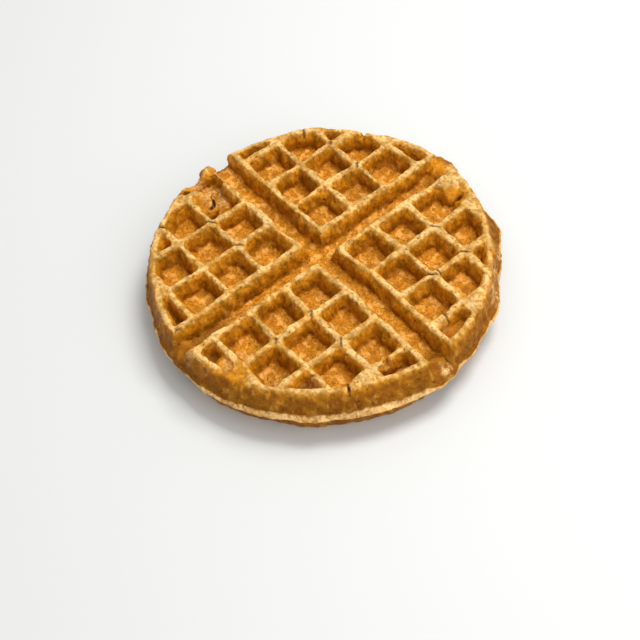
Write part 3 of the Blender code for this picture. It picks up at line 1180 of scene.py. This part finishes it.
class Graph:
    """Short words for laying out the nodes of a material."""

    def __init__(self, name: str) -> None:
        """Opens a new material with its usual shader.

        Args:
            name: The material's name.
        """
        self.material = bpy.data.materials.new(name)
        self.material.use_nodes = True
        self.tree = self.material.node_tree
        self.shader = self.tree.nodes["Principled BSDF"]
        self.place = self.node("ShaderNodeTexCoord").outputs["Object"]

    def node(self, kind: str, **settings: str | bool) -> bpy.types.Node:
        """Adds a node.

        Args:
            kind: Its type.
            settings: The properties that it gets.

        Returns:
            The node.
        """
        made = self.tree.nodes.new(kind)
        for name, value in settings.items():
            setattr(made, name, value)
        return made

    def feed(self, socket: Socket, value: Value) -> None:
        """Gives a socket its value.

        Args:
            socket: The input.
            value: A link or a constant.
        """
        if isinstance(value, bpy.types.NodeSocket):
            self.tree.links.new(value, socket)
        else:
            socket.default_value = value

    def math(self, operation: str, *values: Value) -> Socket:
        """Works out a number.

        Args:
            operation: The sum's name.
            values: The numbers that go in.

        Returns:
            The result.
        """
        made = self.node("ShaderNodeMath", operation=operation)
        for socket, value in zip(made.inputs, values):
            self.feed(socket, value)
        return made.outputs[0]

    def product(self, first: Value, second: Value) -> Socket:
        """Multiplies two numbers."""
        return self.math("MULTIPLY", first, second)

    def most(self, first: Value, second: Value) -> Socket:
        """Takes the larger of two numbers."""
        return self.math("MAXIMUM", first, second)

    def stretched(self, up: float, lean: Place) -> Socket:
        """Stretches the waves of a noise along Z and leans them over.

        Args:
            up: How many waves there are along Z for one along X or Y.
            lean: The turns about X and Y.

        Returns:
            Object coordinates for the noise.
        """
        made = self.node("ShaderNodeMapping")
        self.feed(made.inputs["Vector"], self.place)
        made.inputs["Scale"].default_value = (1.0, 1.0, up)
        made.inputs["Rotation"].default_value = (*lean, 0.0)
        return made.outputs["Vector"]

    def lines(self, value: Value, half_width: float) -> Socket:
        """Thin winding lines where a noise passes through its middle."""
        apart = self.math("ABSOLUTE", self.math("SUBTRACT", value, 0.5))
        return self.rise(apart, Step(0.0, half_width, 1.0, 0.0))

    def noise(self, waves: float, detail: float, vector: Socket | None = None) -> Socket:
        """Smooth noise.

        Args:
            waves: How many waves a metre holds.
            detail: How many finer layers it has.
            vector: Its coordinates, where they aren't the object's own.

        Returns:
            The noise, about 0.5.
        """
        made = self.node("ShaderNodeTexNoise")
        self.feed(made.inputs["Vector"], vector or self.place)
        made.inputs["Scale"].default_value = waves
        made.inputs["Detail"].default_value = detail
        return made.outputs["Fac"]

    def spots(self, waves: float) -> Socket:
        """Measures the distance from scattered points.

        Args:
            waves: How many points a metre holds.

        Returns:
            The distance, in parts of their spacing.
        """
        made = self.node("ShaderNodeTexVoronoi", feature="F1")
        self.feed(made.inputs["Vector"], self.place)
        made.inputs["Scale"].default_value = waves
        return made.outputs["Distance"]

    def rise(self, value: Value, step: Step) -> Socket:
        """Takes a value through a smooth step.

        Args:
            value: The value.
            step: The step.

        Returns:
            The result.
        """
        made = self.node("ShaderNodeMapRange", interpolation_type="SMOOTHSTEP")
        self.feed(made.inputs["Value"], value)
        made.inputs["From Min"].default_value = step.low
        made.inputs["From Max"].default_value = step.high
        made.inputs["To Min"].default_value = step.start
        made.inputs["To Max"].default_value = step.end
        return made.outputs["Result"]

    def tones(self, value: Value, stops: Tones) -> Socket:
        """Runs a value through a row of colours.

        Args:
            value: The value.
            stops: Each colour's place and code.

        Returns:
            The colour.
        """
        made = self.node("ShaderNodeValToRGB")
        self.feed(made.inputs["Fac"], value)
        ramp = made.color_ramp
        for element, (place, code) in zip(ramp.elements, stops):
            element.position = place
            element.color = from_hex(code)
        for place, code in stops[2:]:
            ramp.elements.new(place).color = from_hex(code)
        return made.outputs["Color"]

    def blend(self, part: Value, below: Value, above: Value) -> Socket:
        """Lays one colour over another.

        Args:
            part: How much of the upper colour shows.
            below: The lower colour.
            above: The upper colour.

        Returns:
            The mixed colour.
        """
        made = self.node("ShaderNodeMix", data_type="RGBA")
        self.feed(made.inputs["Factor"], part)
        self.feed(made.inputs[6], below)
        self.feed(made.inputs[7], above)
        return made.outputs[2]

    def scaled(self, colour: Socket, value: Value) -> Socket:
        """Makes a colour lighter or darker.

        Args:
            colour: The colour.
            value: How many times lighter it gets.

        Returns:
            The new colour.
        """
        made = self.node("ShaderNodeVectorMath", operation="SCALE")
        self.feed(made.inputs[0], colour)
        self.feed(made.inputs["Scale"], value)
        return made.outputs["Vector"]

    def measure(self, name: str) -> Socket:
        """Reads a number that the mesh keeps for each vertex."""
        return self.node("ShaderNodeAttribute", attribute_name=name).outputs["Fac"]

    def bump(self, height: Socket, strength: float, distance: float) -> Socket:
        """Tilts the surface by a height.

        Args:
            height: The height, in parts of the distance.
            strength: How much of the tilt shows.
            distance: The relief's full height in metres.

        Returns:
            The normal.
        """
        made = self.node("ShaderNodeBump")
        made.inputs["Strength"].default_value = strength
        made.inputs["Distance"].default_value = distance
        self.feed(made.inputs["Height"], height)
        return made.outputs["Normal"]


@dataclass(frozen=True)
class Grain:
    """The noises that the crust's tones and relief share."""

    broad: Socket
    mottled: Socket
    patchy: Socket
    gritty: Socket
    fine: Socket
    streaks: Socket


@dataclass(frozen=True)
class CrustFinish:
    """Baked crust: pale on the ridges, dark brown down the walls, orange on the floors.

    The wall's tones run from the face down to the depth of a pocket. The others follow noise. Pores,
    pinholes, cracks, the floors' creases and the walls' fold lines get painted shade, and the flank gets
    painted shade that deepens away from the face.
    Waves are counted for each metre, and depths below the face are in metres.
    """

    wall_tones: Tones = (
        (0.00, "c99e58"), (0.06, "c38e3c"), (0.15, "c08020"),
        (0.34, "bd780c"), (0.62, "a66202"), (0.92, "804600"),
    )
    floor_tones: Tones = ((0.36, "a05a06"), (0.49, "c88218"), (0.67, "e4a656"))
    flank_tones: Tones = ((0.34, "7c4200"), (0.50, "8f5300"), (0.68, "ae720c"))
    seam_tones: Tones = ((0.34, "be8c48"), (0.50, "d2a668"), (0.66, "dcb87c"))
    cream: str = "ddbc80"
    golden: str = "d69c40"
    grit: str = "965e12"
    # dark brown, painted as shade into pores, pinholes and cracks
    painted_hole_shade: str = "4a2505"
    broad_waves: float = 95.0
    fold_waves: float = 170.0
    mottled_waves: float = 240.0
    streak_waves: float = 290.0
    pinhole_waves: float = 400.0
    patchy_waves: float = 420.0
    gritty_waves: float = 560.0
    fine_waves: float = 1300.0
    streak_stretch: float = 0.42
    streak_lean: Place = (0.4, -0.3)
    fold_stretch: float = 0.45
    fold_lean: Place = (-0.5, 0.4)
    fold_width: float = 0.05
    # painted shade along the fold lines of the walls
    fold_painted_shade: float = -0.34
    crease_width: float = 0.04
    # painted shade along the creases of the floors
    crease_painted_shade: float = -0.16
    floor_light: float = 1.05
    ragged_depth: Place = (0.0034, -0.0015)
    rough_depth: Place = (0.0005, -0.00025)
    steep: Step = Step(0.25, 0.60)
    level: Step = Step(0.16, 0.76, 1.0, 0.0)
    wall_streaks: Step = Step(0.34, 0.66, 0.84, 1.12)
    wall_mottles: Step = Step(0.36, 0.62, 0.84, 1.12)
    crest_depths: Step = Step(0.0, 0.0020, 1.0, 0.0)
    crest_mottles: Step = Step(0.40, 0.66)
    crest_strength: float = 0.55
    floor_depths: Step = Step(0.0058, 0.0092)
    flank_depths: Step = Step(0.0008, 0.0040)
    flank_streaks: Step = Step(0.36, 0.64, 0.92, 1.06)
    # painted shade down the flank: lighter near the face, darker towards the seam
    flank_painted_shade: Step = Step(0.0020, 0.0105, 1.08, 0.76)
    end_depths: Step = Step(0.0048, 0.0085, 0.0, 0.8)
    wisps: Step = Step(0.54, 0.70, 0.0, 0.42)
    seam_torn: Step = Step(0.42, 0.74)
    seam_edge: Step = Step(0.0, 0.12)
    pale_torn: Step = Step(0.38, 0.60, 0.0, 0.8)
    broad_shade: Step = Step(0.30, 0.70, 0.88, 1.08)
    gritty_shade: Step = Step(0.34, 0.62, 0.94, 1.08)
    specks: Step = Step(0.30, 0.54, 0.62, 0.0)
    pinhole_size: Step = Step(0.11, 0.18, 1.0, 0.0)
    pinhole_patches: Step = Step(0.52, 0.60)
    # how strong the painted shade is in pores, pinholes and cracks
    pore_strength: float = 0.45
    pinhole_strength: float = 0.75
    crack_strength: float = 0.88
    gritty_relief: float = 0.8
    fine_relief: float = 0.5
    pinhole_relief: float = -0.8
    crease_relief: float = -0.5
    roughness: Step = Step(0.3, 0.7, 0.40, 0.66)
    specular: float = 0.10
    bump_strength: float = 0.90
    bump_distance: float = 0.0006
    thickness: float = Lattice.thickness
    depth: float = Lattice.depth

    def material(self) -> bpy.types.Material:
        """Lays out the nodes of the crust.

        Returns:
            The material.
        """
        graph = Graph("baked_crust")
        grain = self.grain(graph)
        under = self.depth_below_face(graph, grain)
        slope = graph.measure("slope")
        steep = graph.rise(slope, self.steep)
        level = graph.rise(slope, self.level)
        on_floor = graph.product(graph.rise(under, self.floor_depths), level)
        creases = graph.lines(graph.noise(self.mottled_waves, 1.0), self.crease_width)
        pinholes = graph.product(graph.rise(graph.spots(self.pinhole_waves), self.pinhole_size),
                                 graph.rise(grain.patchy, self.pinhole_patches))
        mixed = self.mix(graph, grain, 0.7, 0.3)

        floor = graph.tones(mixed, self.floor_tones)
        # painted shade along the creases of the floors
        floor = graph.scaled(floor, graph.math("MULTIPLY_ADD", creases, self.crease_painted_shade, self.floor_light))
        colour = graph.blend(on_floor, self.wall(graph, grain, under, steep), floor)
        colour = graph.blend(self.on_flank(graph, under), colour, self.flank(graph, grain, under))
        wisps = graph.product(graph.rise(grain.streaks, self.wisps), steep)
        colour = graph.blend(wisps, colour, from_hex(self.golden))
        colour = graph.blend(self.on_seam(graph, grain), colour, graph.tones(mixed, self.seam_tones))
        colour = graph.scaled(colour, graph.rise(grain.broad, self.broad_shade))
        colour = graph.scaled(colour, graph.rise(grain.gritty, self.gritty_shade))
        colour = graph.blend(graph.rise(grain.gritty, self.specks), colour, from_hex(self.grit))
        # painted shade: pores, pinholes and cracks are darkened toward dark brown
        colour = graph.blend(self.holes(graph, pinholes), colour, from_hex(self.painted_hole_shade))

        height = graph.product(grain.fine, self.fine_relief)
        height = graph.math("MULTIPLY_ADD", grain.gritty, self.gritty_relief, height)
        height = graph.math("MULTIPLY_ADD", pinholes, self.pinhole_relief, height)
        height = graph.math("ADD", height, graph.product(grain.streaks, slope))
        folded = graph.product(graph.product(creases, on_floor), self.crease_relief)
        height = graph.math("ADD", height, folded)
        normal = graph.bump(height, self.bump_strength, self.bump_distance)
        sockets = graph.shader.inputs
        graph.feed(sockets["Base Color"], colour)
        graph.feed(sockets["Roughness"], graph.rise(grain.fine, self.roughness))
        sockets["Specular IOR Level"].default_value = self.specular
        graph.feed(sockets["Normal"], normal)
        return graph.material

    def grain(self, graph: Graph) -> Grain:
        """Lays out the noises that the tones and the relief share.

        Args:
            graph: The material's nodes.

        Returns:
            The noises.
        """
        streaked = graph.stretched(self.streak_stretch, self.streak_lean)
        return Grain(
            broad=graph.noise(self.broad_waves, 2.0),
            mottled=graph.noise(self.mottled_waves, 3.0),
            patchy=graph.noise(self.patchy_waves, 3.0),
            gritty=graph.noise(self.gritty_waves, 3.0),
            fine=graph.noise(self.fine_waves, 4.0),
            streaks=graph.noise(self.streak_waves, 4.0, streaked),
        )

    def mix(self, graph: Graph, grain: Grain, mottled: float, fine: float) -> Socket:
        """Mixes the mottled noise with the fine one, in these parts."""
        return graph.math("MULTIPLY_ADD", grain.mottled, mottled, graph.product(grain.fine, fine))

    def wall(self, graph: Graph, grain: Grain, under: Socket, steep: Socket) -> Socket:
        """Colours the walls of the pockets and the ridges between them, with painted shade along the walls'
        fold lines.

        Args:
            graph: The material's nodes.
            grain: The shared noises.
            under: The depth below the face.
            steep: How steep the surface is.

        Returns:
            The colour.
        """
        wall = graph.tones(graph.math("DIVIDE", under, self.depth), self.wall_tones)
        folds = graph.noise(self.fold_waves, 2.0, graph.stretched(self.fold_stretch, self.fold_lean))
        lines = graph.product(graph.lines(folds, self.fold_width), steep)
        shade = graph.product(graph.rise(grain.streaks, self.wall_streaks),
                              graph.rise(grain.mottled, self.wall_mottles))
        # painted shade along the fold lines
        shade = graph.math("ADD", shade, graph.product(lines, self.fold_painted_shade))
        wall = graph.scaled(wall, shade)
        crest = graph.product(graph.rise(under, self.crest_depths),
                              graph.rise(grain.mottled, self.crest_mottles))
        return graph.blend(graph.product(crest, self.crest_strength), wall, from_hex(self.cream))

    def flank(self, graph: Graph, grain: Grain, under: Socket) -> Socket:
        """Colours the outside of the rim, with painted shade that deepens away from the face.

        Args:
            graph: The material's nodes.
            grain: The shared noises.
            under: The depth below the face.

        Returns:
            The colour.
        """
        flank = graph.tones(self.mix(graph, grain, 0.75, 0.25), self.flank_tones)
        flank = graph.scaled(flank, graph.rise(grain.streaks, self.flank_streaks))
        # painted shade that deepens further below the face
        return graph.scaled(flank, graph.rise(under, self.flank_painted_shade))

    def on_flank(self, graph: Graph, under: Socket) -> Socket:
        """Tells where the flank's colour shows, also in the ends of the grooves.

        Args:
            graph: The material's nodes.
            under: The depth below the face.

        Returns:
            How much of it shows.
        """
        outside = graph.product(graph.measure("flank"), graph.rise(under, self.flank_depths))
        ends = graph.product(graph.measure("brown"), graph.rise(under, self.end_depths))
        return graph.most(outside, ends)

    def on_seam(self, graph: Graph, grain: Grain) -> Socket:
        """Tells where the seam's pale colour shows, also in the pale patches.

        Args:
            graph: The material's nodes.
            grain: The shared noises.

        Returns:
            How much of it shows.
        """
        near = graph.measure("seam")
        torn = graph.rise(graph.math("MULTIPLY_ADD", grain.mottled, 0.5, near), self.seam_torn)
        seam = graph.product(torn, graph.rise(near, self.seam_edge))
        pale = graph.product(graph.measure("pale"), graph.rise(grain.patchy, self.pale_torn))
        return graph.most(seam, pale)

    def holes(self, graph: Graph, pinholes: Socket) -> Socket:
        """Tells where pores, pinholes and cracks get painted shade.

        Args:
            graph: The material's nodes.
            pinholes: Where the pinholes are.

        Returns:
            How strong the painted shade is.
        """
        pores = graph.product(graph.measure("pore"), self.pore_strength)
        dark = graph.most(pores, graph.product(pinholes, self.pinhole_strength))
        return graph.most(dark, graph.product(graph.measure("crack"), self.crack_strength))

    def depth_below_face(self, graph: Graph, grain: Grain) -> Socket:
        """Measures the depth under the nearer face, in metres, made ragged by noise.

        Args:
            graph: The material's nodes.
            grain: The shared noises.

        Returns:
            The depth.
        """
        split = graph.node("ShaderNodeSeparateXYZ")
        graph.feed(split.inputs[0], graph.place)
        middle = self.thickness / 2
        height = graph.math("ABSOLUTE", graph.math("SUBTRACT", split.outputs["Z"], middle))
        depth = graph.math("SUBTRACT", middle, height)
        depth = graph.math("ADD", depth, graph.math("MULTIPLY_ADD", grain.patchy, *self.ragged_depth))
        return graph.math("ADD", depth, graph.math("MULTIPLY_ADD", grain.fine, *self.rough_depth))


@dataclass
class Waffle:
    """The whole waffle, which bakes its parts in order."""

    lattice: Lattice = field(default_factory=Lattice)

    def build(self) -> bpy.types.Object:
        """Bakes the waffle.

        Returns:
            The finished crust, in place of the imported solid.
        """
        cake = Cake(self.lattice)
        body = cake.build()
        Iron(self.lattice, cake).work(body)
        LOG.info("pockets and grooves: %d points", len(body.data.vertices))
        Breaks(self.lattice, cake).work(body)
        lumps = BrokenRim(self.lattice).work(body)
        lumps += Drips(self.lattice).build()
        body = join([body] + lumps, "waffle_crust")
        LOG.info("cracks and lumps: %d points", len(body.data.vertices))
        Relief(self.lattice, cake).work(body)
        Browning(self.lattice, cake).work(body)
        Spread(self.lattice, cake).work(body)
        body.vertex_groups.clear()
        body.data.materials.clear()
        body.data.materials.append(CrustFinish().material())
        body.data.shade_smooth()
        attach(body, "root")
        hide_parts("waffle")
        LOG.info("crust: %d points, %d triangles", len(body.data.vertices), len(body.data.polygons))
        return body


@dataclass(frozen=True)
class Studio:
    """Pale floor, soft light and the camera at the photograph's viewing angle."""

    camera_place: tuple[float, float, float] = (0.28955, -0.21114, 0.45644)
    camera_turn: tuple[float, float, float] = (36.213, 3.628, 49.870)
    lens: float = 64.23
    sensor: float = 36.0
    nearest: float = 0.01
    lights: tuple[tuple[str, tuple[float, float, float], float, float], ...] = (
        ("key", (-0.02, 0.50, 1.00), 0.50, 10.6),
        ("fill", (0.85, 0.05, 0.70), 0.90, 4.6),
    )
    floor_size: float = 6.0
    floor_drop: float = 0.0002
    floor_roughness: float = 0.6
    floor_colour: Colour = (0.58, 0.585, 0.57, 1.0)
    sky_colour: Colour = (1.0, 1.0, 1.0, 1.0)
    sky_strength: float = 0.71

    def camera(self) -> None:
        """Sets up the camera."""
        deselect_all()
        turn = tuple(math.radians(angle) for angle in self.camera_turn)
        bpy.ops.object.camera_add(location=self.camera_place, rotation=turn)
        camera = bpy.context.active_object
        camera.data.lens = self.lens
        camera.data.sensor_width = self.sensor
        camera.data.clip_start = self.nearest
        bpy.context.scene.camera = camera

    def floor(self) -> None:
        """Lays the plain pale floor."""
        bpy.ops.mesh.primitive_plane_add(size=self.floor_size, location=(0.0, 0.0, -self.floor_drop))
        floor = named("floor")
        material = bpy.data.materials.new("pale_floor")
        material.use_nodes = True
        shader = material.node_tree.nodes["Principled BSDF"]
        shader.inputs["Base Color"].default_value = self.floor_colour
        shader.inputs["Roughness"].default_value = self.floor_roughness
        floor.data.materials.append(material)

    def area(self, name: str, place: tuple[float, float, float], size: float, power: float) -> None:
        """Adds one soft square light that faces the waffle.

        Args:
            name: The light's name.
            place: Where it hangs, in metres.
            size: The length of its side.
            power: Its power in watts.
        """
        bpy.ops.object.light_add(type="AREA", location=place)
        light = bpy.context.active_object
        light.name = name
        light.data.shape = "SQUARE"
        light.data.size = size
        light.data.energy = power
        light.rotation_euler = (-Vector(place)).to_track_quat("-Z", "Y").to_euler()

    def sky(self) -> None:
        """Fills the room with even pale light."""
        world = bpy.data.worlds.new("pale_room")
        world.use_nodes = True
        background = world.node_tree.nodes["Background"]
        background.inputs["Color"].default_value = self.sky_colour
        background.inputs["Strength"].default_value = self.sky_strength
        bpy.context.scene.world = world
        bpy.context.scene.view_settings.view_transform = "Standard"

    def build(self) -> None:
        """Sets up the whole studio."""
        self.camera()
        self.floor()
        for light in self.lights:
            self.area(*light)
        self.sky()


def main() -> None:
    """Builds the waffle, then the studio round it."""
    logging.basicConfig(level=logging.INFO, format="%(name)s: %(message)s")
    Waffle().build()
    Studio().build()
    deselect_all()


if __name__ == "__main__":
    main()
